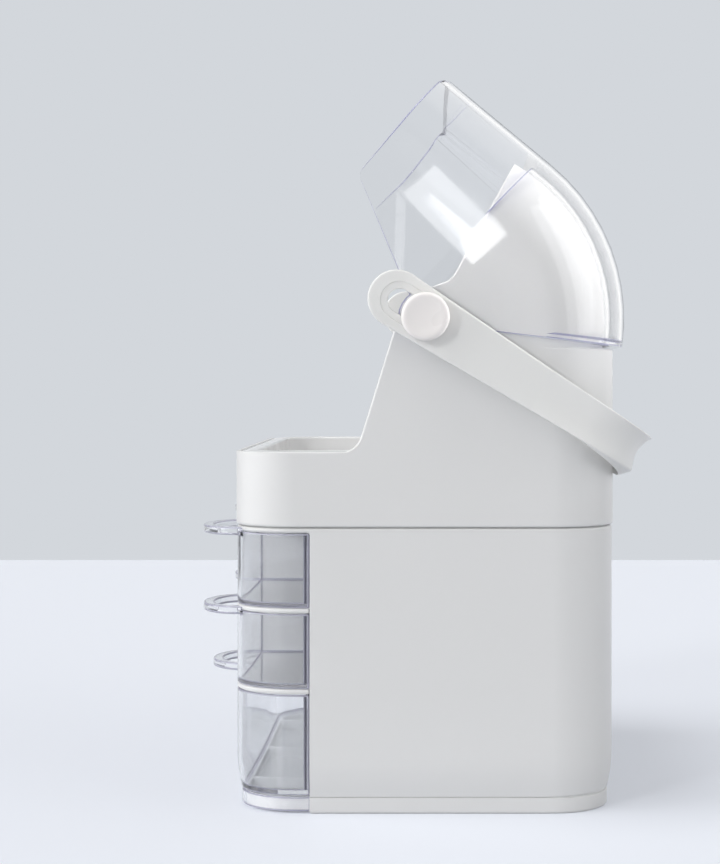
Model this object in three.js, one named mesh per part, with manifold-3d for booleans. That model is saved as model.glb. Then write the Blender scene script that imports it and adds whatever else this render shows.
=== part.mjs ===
// Dustproof makeup organizer: a white two-piece case with five clear drawers, an open tray
// under a round hood, a clear lid that telescopes over a clear visor, and a swinging handle.
// Millimetres. X is the width, the drawers face -Y, Z is up, and the origin is the middle of
// the underside.

import * as THREE from 'three';
import { mergeVertices } from 'three/addons/utils/BufferGeometryUtils.js';
import Module from 'manifold-3d';

const wasm = await Module();
wasm.setup();

// Overall case
const WIDTH = 270;
const DEPTH = 210;
const CORNER_RADIUS = 35;
const WALL = 2.6;
const GAP = 0.3;
const SEAM = 0.5;
const CUT_OVERRUN = 20;

// Heights of the case: the first four from the underside up, each of the others from the one before
const BASE_HEIGHT = 8.7;
const BASE_GROOVE = 0.6;
const TAPER_TOP = 29;
const LOWER_TOP = 155.1;
const TRAY_HEIGHT = 41.1;
const TOWER_HEIGHT = 56.6;

// How far each band of the case lies inside the overall outline
const LOWER_INSET = 0.6;
const TAPER = 2.7;
const GROOVE_INSET = 0.9;

// Drawers and what carries them
const DRAWER_FRONT = 43;
const DRAWER_WALL = 2.2;
const DRAWER_GAP = 0.6;
const DRAWER_HEADROOM = 0.4;
const SHELF_THICKNESS = 2.5;
const SHELF_UPPER_TOP = 111.5;
const SHELF_LOWER_TOP = 67.7;
const DIVIDER_THICKNESS = 2.4;
const SKIRT_BOTTOM = 1.2;
const PULL_INSET = 50;
const PULL_WIDTH = 64;
const PULL_REACH = 20.4;
const WIDE_PULL_REACH = 24.8;
const PULL_BAR = 6;
const PULL_THICKNESS = 4.5;
const PULL_RISE = 2.5;
const PULL_GAP = 0.4;
const PULL_ROOT = 6.4;

// Base
const BASE_FLOOR = 3.4;
const LIP_THICKNESS = 1.6;
const LIP_HEIGHT = 1;
const RUNNER_THICKNESS = 3;
const RUNNER_SPACING = 90;
const PAD_RADIUS = 9;
const PAD_THICKNESS = 1.8;
const PAD_INSET = 30;

// Tray insert and dividers
const RIM_WIDTH = 12.5;
const RIM_THICKNESS = 3.2;
const INSERT_WALL = 2;
const INSERT_REAR = -30;
const INSERT_PROUD = 0.5;
const TRAY_DIVIDER_PLACE = 41;
const TRAY_DIVIDER_THICKNESS = 1.8;
const TRAY_DIVIDER_DROP = 6;
const REAR_DIVIDER_PLACE = 32;
const REAR_DIVIDER_THICKNESS = 2;
const REAR_DIVIDER_HEIGHT = 68;
const REAR_DIVIDER_CORNER = 12;
const RIB = 1.4;

// Pivot shared by the hood, visor, lid and handle
const PIVOT_Y = 1;
const PIVOT_RISE = 16.7;
const STEM_RADIUS = 4;
const STEM_GAP = 0.35;
const BOSS_RADIUS = 8.5;
const BOSS_HEIGHT = 4.4;

// Side outline of the hood: directions in degrees from +Y towards +Z
const TOWER_ANGLE = 72.8;
const TOWER_FILLET = 12;
const EAR_RADIUS = 14.4;
const BROW_ANGLE = 20;
const BROW_FILLET = 11;
const HOOD_EDGE_ANGLE = 61.8;
const HOOD_EDGE_OFFSET = 2.7;
const HOOD_RADIUS = 99.6;
const HOOD_WALL = 2.4;

// Clear layers over the hood: the visor turns inside the lid
const VISOR_SIDE_GAP = 0.6;
const VISOR_SIDE = 1.6;
const VISOR_HOOD_GAP = 1.6;
const VISOR_WALL = 2;
const VISOR_FRONT_ANGLE = 46.5;
const VISOR_REAR_ANGLE = -6.9;
const VISOR_REAR_DROP = 3.6;
const LID_SIDE_GAP = 0.6;
const LID_SIDE = 1.8;
const LID_VISOR_GAP = 5.1;
const LID_WALL = 2.2;
const LID_FRONT_ANGLE = 50.4;
const LID_MOUTH = 77.2;
const LID_MOUTH_MARGIN = 1;
const LID_MOUTH_FILLET = 9;
const LID_CHEEK_ANGLE = 112.7;
const LID_CHEEK_OFFSET = 3.8;
const LID_CHEEK_FILLET = 6;
const LID_REAR_ANGLE = -6.3;
const LID_REAR_DROP = 4;
const LID_REAR_MARGIN_ANGLE = 8;
const LID_CORE = 2;
const LID_LIP_WIDTH = 2.8;
const LID_LIP_GAP = 0.6;
const CLEAR_EAR_RADIUS = 15;

// Handle
const HANDLE_REST_ANGLE = 32;
const ARM_GAP = 0.8;
const ARM_THICKNESS = 3.2;
const ARM_END = 18.4;
const ARM_END_RADIUS = 15.7;
const ARM_STEP = 73;
const ARM_STEP_LENGTH = 2;
const ARM_STEP_TOP = 11.9;
const ARM_STEP_BOTTOM = 13;
const GRIP_BACK_GAP = 1.6;
const GRIP_THICKNESS = 2.4;
const GRIP_CORNER = 32;
const GRIP_TOP = 10;
const GRIP_LIP_BOTTOM = 11.3;
const GRIP_BOTTOM = 17.8;
const GRIP_LIP = 3.4;
const GRIP_BOW = 2.4;
const STEP_FORM_SHARE = 0.45;
const ARM_FORM_SHARE = 0.6;
const SLOT_TRAVEL = 16.5;
const SLOT_HALF_WIDTH = 6.4;
const SLOT_TRACK = 4;
const SLOT_TRACK_DEPTH = 0.6;

// Knob, washer and screw
const KNOB_RADIUS = 13;
const KNOB_THICKNESS = 8.8;
const KNOB_GAP = 0.6;
const KNOB_DISH = 1.2;
const KNOB_RIM = 1.8;
const KNOB_EDGE = 1;
const SCREW_RADIUS = 1.5;
const SCREW_LENGTH = 12;
const SCREW_HEAD_RADIUS = 3.6;
const SCREW_HEAD = 2.2;
const WASHER_RADIUS = 8;
const WASHER_THICKNESS = 1.2;

// Fineness of the curves
const RIGHT_ANGLE = 90;
const ARC_ANGLE = 11.25;
const DRUM_ANGLE = 6;
const ROUND_STEPS = 24;
const TAPER_STEPS = 4;
const CORNER_STEPS = 10;
const SECTION_STEPS = 6;
const PULL_STEPS = 16;

const WHITE = { color: 0xf0f0ef, roughness: 0.35, metalness: 0 };
const CLEAR = { color: 0xdfe6ee, roughness: 0.06, metalness: 0, transparent: true, opacity: 0.35 };
const MILKY = { color: 0xe9eaeb, roughness: 0.45, metalness: 0 };
const RUBBER = { color: 0x9c9c9e, roughness: 0.9, metalness: 0 };
const STEEL = { color: 0xb4b6b8, roughness: 0.35, metalness: 1 };

// Derived heights and places
const HALF_WIDTH = WIDTH / 2;
const HALF_DEPTH = DEPTH / 2;
const BODY_BOTTOM = BASE_HEIGHT + BASE_GROOVE;
const TRAY_RIM = LOWER_TOP + TRAY_HEIGHT;
const LEDGE = TRAY_RIM + TOWER_HEIGHT;
const PIVOT_Z = LEDGE + PIVOT_RISE;
const TOP_PLATE_UNDERSIDE = LOWER_TOP - WALL;
const UPPER_BOTTOM = LOWER_TOP + SEAM;
const UPPER_FLOOR = UPPER_BOTTOM + WALL;
const BASE_INSET = LOWER_INSET + TAPER;
const FRONT_JOINT = -HALF_DEPTH + DRAWER_FRONT;
const LIP_TOP = BODY_BOTTOM + LIP_HEIGHT;
const VISOR_RADIUS = HOOD_RADIUS + VISOR_HOOD_GAP + VISOR_WALL;
const LID_RADIUS = VISOR_RADIUS + LID_VISOR_GAP + LID_WALL;
const VISOR_INNER_SIDE = HALF_WIDTH + VISOR_SIDE_GAP;
const VISOR_OUTER_SIDE = VISOR_INNER_SIDE + VISOR_SIDE;
const LID_INNER_SIDE = VISOR_OUTER_SIDE + LID_SIDE_GAP;
const LID_OUTER_SIDE = LID_INNER_SIDE + LID_SIDE;
const ARM_INNER_SIDE = LID_OUTER_SIDE + ARM_GAP;
const ARM_OUTER_SIDE = ARM_INNER_SIDE + ARM_THICKNESS;
const KNOB_INNER_SIDE = ARM_OUTER_SIDE + KNOB_GAP;
const BOSS_SIDE = HALF_WIDTH - WALL - BOSS_HEIGHT;
const STEM_SIDE = BOSS_SIDE - GAP;
const CORNER_CENTRE_X = HALF_WIDTH - CORNER_RADIUS;
const HOLE_RADIUS = STEM_RADIUS + STEM_GAP;

// Closed geometry to solid, and back
function solid(geometry) {
  geometry.deleteAttribute('normal');
  geometry.deleteAttribute('uv');
  const merged = mergeVertices(geometry);
  return new wasm.Manifold(new wasm.Mesh({
    numProp: 3,
    vertProperties: new Float32Array(merged.attributes.position.array),
    triVerts: new Uint32Array(merged.index.array),
  }));
}

function geometryOf(body) {
  const mesh = body.getMesh();
  const geometry = new THREE.BufferGeometry();
  geometry.setAttribute('position', new THREE.BufferAttribute(mesh.vertProperties, mesh.numProp));
  geometry.setIndex(new THREE.BufferAttribute(mesh.triVerts, 1));
  geometry.computeVertexNormals();
  return geometry;
}

const radians = THREE.MathUtils.degToRad;
const direction = (degrees) => new THREE.Vector2(Math.cos(radians(degrees)), Math.sin(radians(degrees)));

// A closed outline from [x, y, fillet] corners, each rounded by its own fillet
function filleted(corners) {
  const points = [];
  corners.forEach(([x, y, fillet = 0], index) => {
    const corner = new THREE.Vector2(x, y);
    if (fillet === 0) {
      points.push(corner);
      return;
    }
    const before = corners[(index + corners.length - 1) % corners.length];
    const after = corners[(index + 1) % corners.length];
    const back = new THREE.Vector2(before[0], before[1]).sub(corner).normalize();
    const ahead = new THREE.Vector2(after[0], after[1]).sub(corner).normalize();
    const half = Math.acos(THREE.MathUtils.clamp(back.dot(ahead), -1, 1)) / 2;
    const centre = back.clone().add(ahead).setLength(fillet / Math.sin(half)).add(corner);
    const start = back.clone().multiplyScalar(fillet / Math.tan(half)).add(corner).sub(centre);
    const turn = Math.PI - 2 * half;
    const sign = Math.sign(ahead.cross(back));
    const steps = Math.max(2, Math.round(turn / radians(ARC_ANGLE)));
    for (let step = 0; step <= steps; step += 1) {
      const angle = (sign * turn * step) / steps;
      points.push(start.clone().rotateAround(new THREE.Vector2(), angle).add(centre));
    }
  });
  return points;
}

// Extrusions of an outline along Z, along X, or along any set of axes
function extruded(points, low, high) {
  const options = { depth: high - low, bevelEnabled: false };
  return new THREE.ExtrudeGeometry(new THREE.Shape(points), options).translate(0, 0, low);
}

const prismZ = (points, low, high) => solid(extruded(points, low, high));

const SIDE_AXES = new THREE.Matrix4().makeBasis(
  new THREE.Vector3(0, 1, 0),
  new THREE.Vector3(0, 0, 1),
  new THREE.Vector3(1, 0, 0),
);

const prismX = (points, low, high) => solid(extruded(points, low, high).applyMatrix4(SIDE_AXES));

// The same for an outline drawn round the pivot
function pivotPrism(points, low = -HALF_WIDTH - CUT_OVERRUN, high = HALF_WIDTH + CUT_OVERRUN) {
  return prismX(points.map((point) => new THREE.Vector2(point.x + PIVOT_Y, point.y + PIVOT_Z)), low, high);
}

function block(x0, x1, y0, y1, z0, z1) {
  const geometry = new THREE.BoxGeometry(x1 - x0, y1 - y0, z1 - z0);
  return solid(geometry.translate((x0 + x1) / 2, (y0 + y1) / 2, (z0 + z1) / 2));
}

// A solid of revolution about the pivot from [radius, x] points
const LATHE_AXES = new THREE.Matrix4().makeBasis(
  new THREE.Vector3(0, 0, 1),
  new THREE.Vector3(1, 0, 0),
  new THREE.Vector3(0, 1, 0),
);

function revolved(profile, steps) {
  const points = profile.map(([radius, x]) => new THREE.Vector2(radius, x));
  const geometry = new THREE.LatheGeometry(points, steps).applyMatrix4(LATHE_AXES);
  return solid(geometry.translate(0, PIVOT_Y, PIVOT_Z));
}

const rod = (radius, x0, x1) => revolved([[0, x0], [radius, x0], [radius, x1], [0, x1]], ROUND_STEPS);

// A closed skin over rings of points, with a fan at either end
function lofted(rings) {
  const count = rings[0].length;
  const positions = rings.flatMap((ring) => ring.flatMap((point) => point.toArray()));
  const ends = [rings[0], rings[rings.length - 1]];
  ends.forEach((ring) => {
    const centre = ring.reduce((sum, point) => sum.add(point), new THREE.Vector3()).divideScalar(count);
    positions.push(...centre.toArray());
  });
  const first = rings.length * count;
  const index = [];
  for (let j = 0; j < count; j += 1) {
    const next = (j + 1) % count;
    for (let i = 0; i + 1 < rings.length; i += 1) {
      const low = i * count;
      const high = low + count;
      index.push(low + j, low + next, high + next, low + j, high + next, high + j);
    }
    const top = (rings.length - 1) * count;
    index.push(first, next, j, first + 1, top + j, top + next);
  }
  const geometry = new THREE.BufferGeometry();
  geometry.setAttribute('position', new THREE.Float32BufferAttribute(positions, 3));
  geometry.setIndex(index);
  return solid(geometry);
}

// Plan outline of the case, this far inside the overall one
function plan(inset) {
  const x = HALF_WIDTH - inset;
  const y = HALF_DEPTH - inset;
  const radius = CORNER_RADIUS - inset;
  return filleted([[x, -y, radius], [x, y, radius], [-x, y, radius], [-x, -y, radius]]);
}

const planPrism = (inset, low, high) => prismZ(plan(inset), low, high);
const ahead = (y) => block(-WIDTH, WIDTH, -DEPTH, y, -CUT_OVERRUN, LOWER_TOP + DEPTH);
const behind = (y) => block(-WIDTH, WIDTH, y, DEPTH, -CUT_OVERRUN, LOWER_TOP + DEPTH);

// The lower case draws in towards the base by a quarter wave
function bodyInset(z) {
  const share = THREE.MathUtils.clamp((z - BODY_BOTTOM) / (TAPER_TOP - BODY_BOTTOM), 0, 1);
  return LOWER_INSET + TAPER * (1 - Math.sin((share * Math.PI) / 2));
}

// Heights at which the taper is drawn, between two limits
function taperHeights(low, high) {
  const heights = [low];
  for (let step = 0; step <= TAPER_STEPS; step += 1) {
    const z = BODY_BOTTOM + ((TAPER_TOP - BODY_BOTTOM) * step) / TAPER_STEPS;
    if (z > low && z < high) heights.push(z);
  }
  heights.push(high);
  return heights;
}

const planLoft = (levels) => lofted(
  levels.map(([z, inset]) => plan(inset).map((point) => new THREE.Vector3(point.x, point.y, z))),
);

const bodyLoft = (extra, low, high) => planLoft(
  taperHeights(low, high).map((z) => [z, bodyInset(z) + extra]),
);

// Base: a shallow dish with a locating lip, runners for the bottom drawer and pockets for pads
function padPlaces() {
  const x = HALF_WIDTH - PAD_INSET;
  const y = HALF_DEPTH - PAD_INSET;
  return [[-x, -y], [x, -y], [x, y], [-x, y]];
}

function disc(radius, x, y, low, high) {
  const geometry = new THREE.CylinderGeometry(radius, radius, high - low, ROUND_STEPS);
  return solid(geometry.rotateX(Math.PI / 2).translate(x, y, (low + high) / 2));
}

function basePlate() {
  const lipInset = bodyInset(BODY_BOTTOM) + WALL + GAP;
  const frontInset = BASE_INSET + DRAWER_WALL + DRAWER_GAP;
  const rear = planPrism(BASE_INSET, 0, BASE_HEIGHT)
    .add(planPrism(BASE_INSET + GROOVE_INSET, BASE_FLOOR, BODY_BOTTOM))
    .add(planPrism(lipInset, BASE_FLOOR, LIP_TOP))
    .intersect(behind(FRONT_JOINT));
  const front = planPrism(frontInset, 0, BASE_HEIGHT).intersect(ahead(FRONT_JOINT));
  const dish = planPrism(lipInset + LIP_THICKNESS, BASE_FLOOR, LIP_TOP + CUT_OVERRUN);
  let base = rear.add(front).subtract(dish);
  for (const x of [-RUNNER_SPACING, 0, RUNNER_SPACING]) {
    const reach = HALF_DEPTH - lipInset - LIP_THICKNESS / 2;
    const half = RUNNER_THICKNESS / 2;
    base = base.add(block(x - half, x + half, -reach, reach, BASE_FLOOR - LIP_THICKNESS, LIP_TOP));
  }
  for (const [x, y] of padPlaces()) {
    base = base.subtract(disc(PAD_RADIUS + GAP, x, y, -CUT_OVERRUN, PAD_THICKNESS + GAP));
  }
  return base;
}

// Lower case: side and back walls under a top plate that reaches over the drawer fronts
function lowerHousing() {
  const walls = bodyLoft(0, BODY_BOTTOM, LOWER_TOP)
    .subtract(bodyLoft(WALL, BODY_BOTTOM - CUT_OVERRUN, TOP_PLATE_UNDERSIDE));
  const opening = block(-WIDTH, WIDTH, -DEPTH, FRONT_JOINT, -CUT_OVERRUN, TOP_PLATE_UNDERSIDE);
  return walls.subtract(opening);
}

function shelf(top) {
  const front = planPrism(LOWER_INSET, top - SHELF_THICKNESS, top).intersect(ahead(FRONT_JOINT - GAP));
  const rear = planPrism(LOWER_INSET + WALL + GAP, top - SHELF_THICKNESS, top);
  return front.add(rear);
}

function drawerDivider(low, high) {
  const half = DIVIDER_THICKNESS / 2;
  const front = -HALF_DEPTH + LOWER_INSET + GROOVE_INSET;
  return block(-half, half, front, HALF_DEPTH - LOWER_INSET - WALL - GAP, low, high);
}

// Half-moon pull ring that stands a little proud of its drawer's top edge, ahead of the shelf's
function pull(x, top, tip) {
  const face = -HALF_DEPTH + LOWER_INSET;
  const high = top + PULL_RISE;
  const low = high - PULL_THICKNESS;
  const arch = (halfWidth, reach, bottom, ceiling) => {
    const root = face + PULL_ROOT;
    const points = [new THREE.Vector2(x + halfWidth, root), new THREE.Vector2(x - halfWidth, root)];
    for (let step = 0; step <= PULL_STEPS; step += 1) {
      const angle = Math.PI * (1 + step / PULL_STEPS);
      points.push(new THREE.Vector2(x + halfWidth * Math.cos(angle), face + reach * Math.sin(angle)));
    }
    return prismZ(points, bottom, ceiling);
  };
  return arch(PULL_WIDTH / 2, tip, low, high)
    .subtract(arch(PULL_WIDTH / 2 - PULL_BAR, tip - PULL_BAR, low - CUT_OVERRUN, high + CUT_OVERRUN))
    .subtract(planPrism(LOWER_INSET - PULL_GAP, top, high + CUT_OVERRUN));
}

// Clear drawer: its front part is flush with the case, its box runs inside the walls
function drawer({ low, high, x0, x1, pullX, pullReach, skirt = false }) {
  const rearInset = bodyInset(low) + WALL + DRAWER_GAP;
  const frontEnd = FRONT_JOINT - GAP;
  const sides = (inset) => block(
    x0 + inset, x1 - inset, -DEPTH, DEPTH, -CUT_OVERRUN, high + CUT_OVERRUN,
  );
  let shell = bodyLoft(0, low, high).intersect(ahead(frontEnd))
    .add(planPrism(rearInset, low, high));
  if (skirt) {
    const band = planPrism(BASE_INSET, SKIRT_BOTTOM, BASE_HEIGHT)
      .add(planPrism(BASE_INSET + GROOVE_INSET, SKIRT_BOTTOM, low))
      .add(planPrism(BASE_INSET, BODY_BOTTOM, low))
      .subtract(planPrism(BASE_INSET + DRAWER_WALL, 0, low));
    shell = shell.add(band.intersect(ahead(frontEnd)));
  }
  const floor = low + DRAWER_WALL;
  const top = high + CUT_OVERRUN;
  const frontRoom = bodyLoft(DRAWER_WALL, floor, top).intersect(ahead(frontEnd - DRAWER_WALL));
  const room = frontRoom.add(planPrism(rearInset + DRAWER_WALL, floor, top));
  return shell.intersect(sides(0))
    .add(pull(pullX, high, pullReach))
    .subtract(room.intersect(sides(DRAWER_WALL)));
}

// Upper case: tray and tower in one moulding, crowned by the hood
const lineFrom = (slope, offset) => {
  const along = direction(slope);
  return { along, point: new THREE.Vector2(-along.y, along.x).multiplyScalar(offset) };
};

function meeting(one, two) {
  const gap = two.point.clone().sub(one.point);
  const reach = gap.cross(two.along) / one.along.cross(two.along);
  return one.point.clone().addScaledVector(one.along, reach);
}

const atHeight = (line, z) => line.point.clone()
  .addScaledVector(line.along, (z - line.point.y) / line.along.y);

const towerFront = lineFrom(TOWER_ANGLE, EAR_RADIUS);
const brow = lineFrom(BROW_ANGLE, EAR_RADIUS);
const hoodEdge = lineFrom(HOOD_EDGE_ANGLE, -HOOD_EDGE_OFFSET);

// Half of a drum's profile: flat cheeks, rounded corners and a straight rim
function drumProfile(halfWidth, radius, corner) {
  const outline = filleted([
    [0, -halfWidth],
    [radius, -halfWidth, corner],
    [radius, halfWidth, corner],
    [0, halfWidth],
  ]);
  return outline.map((point) => [point.x, point.y]);
}

function drum(halfWidth, radius) {
  return revolved(drumProfile(halfWidth, radius, halfWidth - CORNER_CENTRE_X), 360 / DRUM_ANGLE);
}

function upperHousing() {
  const rimLine = TRAY_RIM - PIVOT_Z;
  const ledgeLine = LEDGE - PIVOT_Z;
  const rimCorner = atHeight(towerFront, rimLine);
  const ledgeCorner = atHeight(towerFront, ledgeLine);
  const tower = filleted([
    [-HALF_DEPTH - PIVOT_Y, UPPER_BOTTOM - PIVOT_Z],
    [HALF_DEPTH - PIVOT_Y, UPPER_BOTTOM - PIVOT_Z],
    [HALF_DEPTH - PIVOT_Y, ledgeLine],
    [ledgeCorner.x, ledgeCorner.y],
    [rimCorner.x, rimCorner.y, TOWER_FILLET],
    [-HALF_DEPTH - PIVOT_Y, rimLine],
  ]);
  const above = HOOD_RADIUS + CUT_OVERRUN;
  const crown = filleted([
    [atHeight(towerFront, ledgeLine - CUT_OVERRUN).x, ledgeLine - CUT_OVERRUN],
    [above, ledgeLine - CUT_OVERRUN],
    [above, above],
    [atHeight(hoodEdge, above).x, above],
    [...meeting(brow, hoodEdge).toArray(), BROW_FILLET],
    [...meeting(towerFront, brow).toArray(), EAR_RADIUS],
  ]);
  const pad = planPrism(WALL + GAP, LOWER_TOP, UPPER_FLOOR);
  const outside = planPrism(0, UPPER_BOTTOM, LEDGE).intersect(pivotPrism(tower))
    .add(drum(HALF_WIDTH, HOOD_RADIUS).intersect(pivotPrism(crown)))
    .add(pad);
  const inside = planPrism(WALL, UPPER_FLOOR, LEDGE - WALL)
    .add(drum(HALF_WIDTH - WALL, HOOD_RADIUS - HOOD_WALL));
  let housing = outside.subtract(inside);
  for (const side of [-1, 1]) {
    housing = housing.add(between(side, BOSS_RADIUS, BOSS_SIDE, HALF_WIDTH - WALL / 2));
    const bore = between(side, HOLE_RADIUS, BOSS_SIDE - CUT_OVERRUN, HALF_WIDTH + CUT_OVERRUN);
    housing = housing.subtract(bore);
    housing = housing.add(dividerRibs(side));
  }
  return housing;
}

// A rod about the pivot on one side of the object, between two distances from its middle
function between(side, radius, near, far) {
  const ends = [side * near, side * far].sort((a, b) => a - b);
  return rod(radius, ends[0], ends[1]);
}

// Two upright ribs that hold one end of the rear divider
function dividerRibs(side) {
  const wallFace = HALF_WIDTH - WALL / 2;
  const x = [side * (HALF_WIDTH - WALL - RIB), side * wallFace].sort((a, b) => a - b);
  const inner = REAR_DIVIDER_THICKNESS / 2 + GAP;
  const top = UPPER_FLOOR + REAR_DIVIDER_HEIGHT - REAR_DIVIDER_CORNER;
  const low = UPPER_FLOOR - WALL / 2;
  const rear = block(x[0], x[1], REAR_DIVIDER_PLACE + inner, REAR_DIVIDER_PLACE + inner + RIB, low, top);
  const front = block(x[0], x[1], REAR_DIVIDER_PLACE - inner - RIB, REAR_DIVIDER_PLACE - inner, low, top);
  return rear.add(front);
}

// Drop-in tray: its wide rounded rim lies inside the wall of the case
function trayInsert() {
  const rimTop = TRAY_RIM + INSERT_PROUD;
  const rimLow = rimTop - RIM_THICKNESS;
  const rimOutset = WALL + GAP;
  const roundness = RIM_THICKNESS / 2;
  const rim = planLoft([
    [rimLow, rimOutset],
    [rimLow + roundness, rimOutset],
    [rimTop - roundness / 2, rimOutset + roundness / 2],
    [rimTop, rimOutset + 2 * roundness],
  ]);
  const bucket = planPrism(RIM_WIDTH - INSERT_WALL, UPPER_FLOOR + GAP, rimTop - roundness);
  const room = planPrism(RIM_WIDTH, UPPER_FLOOR + GAP + INSERT_WALL, rimTop + CUT_OVERRUN)
    .intersect(ahead(INSERT_REAR - INSERT_WALL));
  let insert = rim.add(bucket).intersect(ahead(INSERT_REAR)).subtract(room);
  const floor = UPPER_FLOOR + GAP + INSERT_WALL;
  const front = -HALF_DEPTH + RIM_WIDTH;
  const rear = INSERT_REAR - INSERT_WALL;
  const inner = TRAY_DIVIDER_THICKNESS / 2 + GAP;
  for (const side of [-1, 1]) {
    const ends = [[front - INSERT_WALL / 2, front + RIB], [rear - RIB, rear + INSERT_WALL / 2]];
    for (const [y0, y1] of ends) {
      for (const edge of [-inner - RIB, inner]) {
        const x = side * TRAY_DIVIDER_PLACE + edge;
        insert = insert.add(block(x, x + RIB, y0, y1, floor - INSERT_WALL / 2, rimTop - TRAY_DIVIDER_DROP));
      }
    }
  }
  return insert;
}

function trayDivider(side) {
  const x = side * TRAY_DIVIDER_PLACE;
  const half = TRAY_DIVIDER_THICKNESS / 2;
  const low = UPPER_FLOOR + INSERT_WALL + 2 * GAP;
  const high = TRAY_RIM + INSERT_PROUD - TRAY_DIVIDER_DROP;
  const front = -HALF_DEPTH + RIM_WIDTH + GAP;
  return block(x - half, x + half, front, INSERT_REAR - INSERT_WALL - GAP, low, high);
}

function rearDivider() {
  const x = HALF_WIDTH - WALL - GAP;
  const low = UPPER_FLOOR + GAP;
  const high = UPPER_FLOOR + REAR_DIVIDER_HEIGHT;
  const half = REAR_DIVIDER_THICKNESS / 2;
  const corner = REAR_DIVIDER_CORNER;
  const outline = filleted([[-x, low], [x, low], [x, high, corner], [-x, high, corner]]);
  const geometry = extruded(outline, -half, half).rotateX(Math.PI / 2);
  return solid(geometry.translate(0, REAR_DIVIDER_PLACE, 0));
}

// Middle visor: a clear drum shell between its straight front and rear edges, with round ears
function middleVisor() {
  const shell = drum(VISOR_OUTER_SIDE, VISOR_RADIUS)
    .subtract(drum(VISOR_INNER_SIDE, VISOR_RADIUS - VISOR_WALL));
  const front = lineFrom(VISOR_FRONT_ANGLE, CLEAR_EAR_RADIUS);
  const rear = lineFrom(VISOR_REAR_ANGLE, -VISOR_REAR_DROP);
  const reach = VISOR_RADIUS + CUT_OVERRUN;
  const frontEnd = front.point.clone().addScaledVector(front.along, reach);
  const rearEnd = rear.point.clone().addScaledVector(rear.along, reach);
  const fan = filleted([
    rear.point.toArray(),
    rearEnd.toArray(),
    [reach * 2, reach],
    frontEnd.toArray(),
    front.point.toArray(),
  ]);
  const ears = rod(CLEAR_EAR_RADIUS, -VISOR_OUTER_SIDE, VISOR_OUTER_SIDE);
  return shell.intersect(pivotPrism(fan).add(ears)).subtract(rod(HOLE_RADIUS, -WIDTH, WIDTH));
}

// Front lid: sections turned about the pivot, then carried straight on as a flat front panel
function lidSection(halfWidth, radius, core, degrees, shift) {
  const corner = halfWidth - CORNER_CENTRE_X;
  const outline = filleted([
    [halfWidth, core],
    [halfWidth, radius, corner],
    [-halfWidth, radius, corner],
    [-halfWidth, core],
  ]);
  const up = direction(degrees);
  return outline.map((point) => new THREE.Vector3(
    point.x,
    PIVOT_Y + point.y * up.x - shift * up.y,
    PIVOT_Z + point.y * up.y + shift * up.x,
  ));
}

function lidBody(halfWidth, radius, core, overruns) {
  const rings = [];
  const start = LID_REAR_ANGLE - overruns * LID_REAR_MARGIN_ANGLE;
  const steps = Math.round((LID_FRONT_ANGLE - start) / DRUM_ANGLE);
  for (let step = 0; step <= steps; step += 1) {
    const degrees = THREE.MathUtils.lerp(start, LID_FRONT_ANGLE, step / steps);
    rings.push(lidSection(halfWidth, radius, core, degrees, 0));
  }
  const end = LID_MOUTH + overruns * CUT_OVERRUN;
  rings.push(lidSection(halfWidth, radius, core, LID_FRONT_ANGLE, end));
  return lofted(rings);
}

function frontLid() {
  const shell = lidBody(LID_OUTER_SIDE, LID_RADIUS, 2 * LID_CORE, 1)
    .subtract(lidBody(LID_INNER_SIDE, LID_RADIUS - LID_WALL, LID_CORE, 2));
  const rear = lineFrom(LID_REAR_ANGLE, -LID_REAR_DROP);
  const reach = LID_RADIUS + CUT_OVERRUN;
  const rearEnd = rear.point.clone().addScaledVector(rear.along, reach);
  const cheek = lineFrom(LID_CHEEK_ANGLE, LID_CHEEK_OFFSET);
  const mouth = lineFrom(LID_FRONT_ANGLE, LID_MOUTH);
  const panel = lineFrom(LID_FRONT_ANGLE + RIGHT_ANGLE, -LID_RADIUS - LID_MOUTH_MARGIN);
  const side = filleted([
    rear.point.toArray(),
    rearEnd.toArray(),
    panel.point.clone().addScaledVector(panel.along, -reach).toArray(),
    [...meeting(mouth, panel).toArray(), LID_MOUTH_FILLET],
    [...meeting(mouth, cheek).toArray(), LID_CHEEK_FILLET],
    cheek.point.toArray(),
  ]);
  const lipTop = lineFrom(LID_REAR_ANGLE, LID_LIP_WIDTH - LID_REAR_DROP);
  const lipEnd = lipTop.point.clone().addScaledVector(lipTop.along, reach);
  const lipSide = [rear.point, rearEnd, lipEnd, lipTop.point];
  const lip = drum(LID_INNER_SIDE + LID_SIDE / 2, LID_RADIUS - LID_WALL / 2)
    .subtract(drum(LID_INNER_SIDE, VISOR_RADIUS + LID_LIP_GAP))
    .intersect(pivotPrism(lipSide));
  let lid = shell.intersect(pivotPrism(side)).add(lip);
  for (const hand of [-1, 1]) {
    lid = lid.add(between(hand, CLEAR_EAR_RADIUS, LID_INNER_SIDE, LID_OUTER_SIDE));
  }
  return lid.subtract(rod(HOLE_RADIUS, -WIDTH, WIDTH));
}

// Handle: a band swept from one arm round the grip to the other
const handleTurn = new THREE.Matrix4()
  .makeRotationX(radians(-HANDLE_REST_ANGLE))
  .setPosition(0, PIVOT_Y, PIVOT_Z);

// The grip stands this far from the pivot, so that its lower edge clears the back of the case
const restTurn = direction(HANDLE_REST_ANGLE);
const GRIP_REACH = (HALF_DEPTH + GRIP_BACK_GAP - PIVOT_Y + GRIP_BOTTOM * restTurn.y) / restTurn.x;

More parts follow.
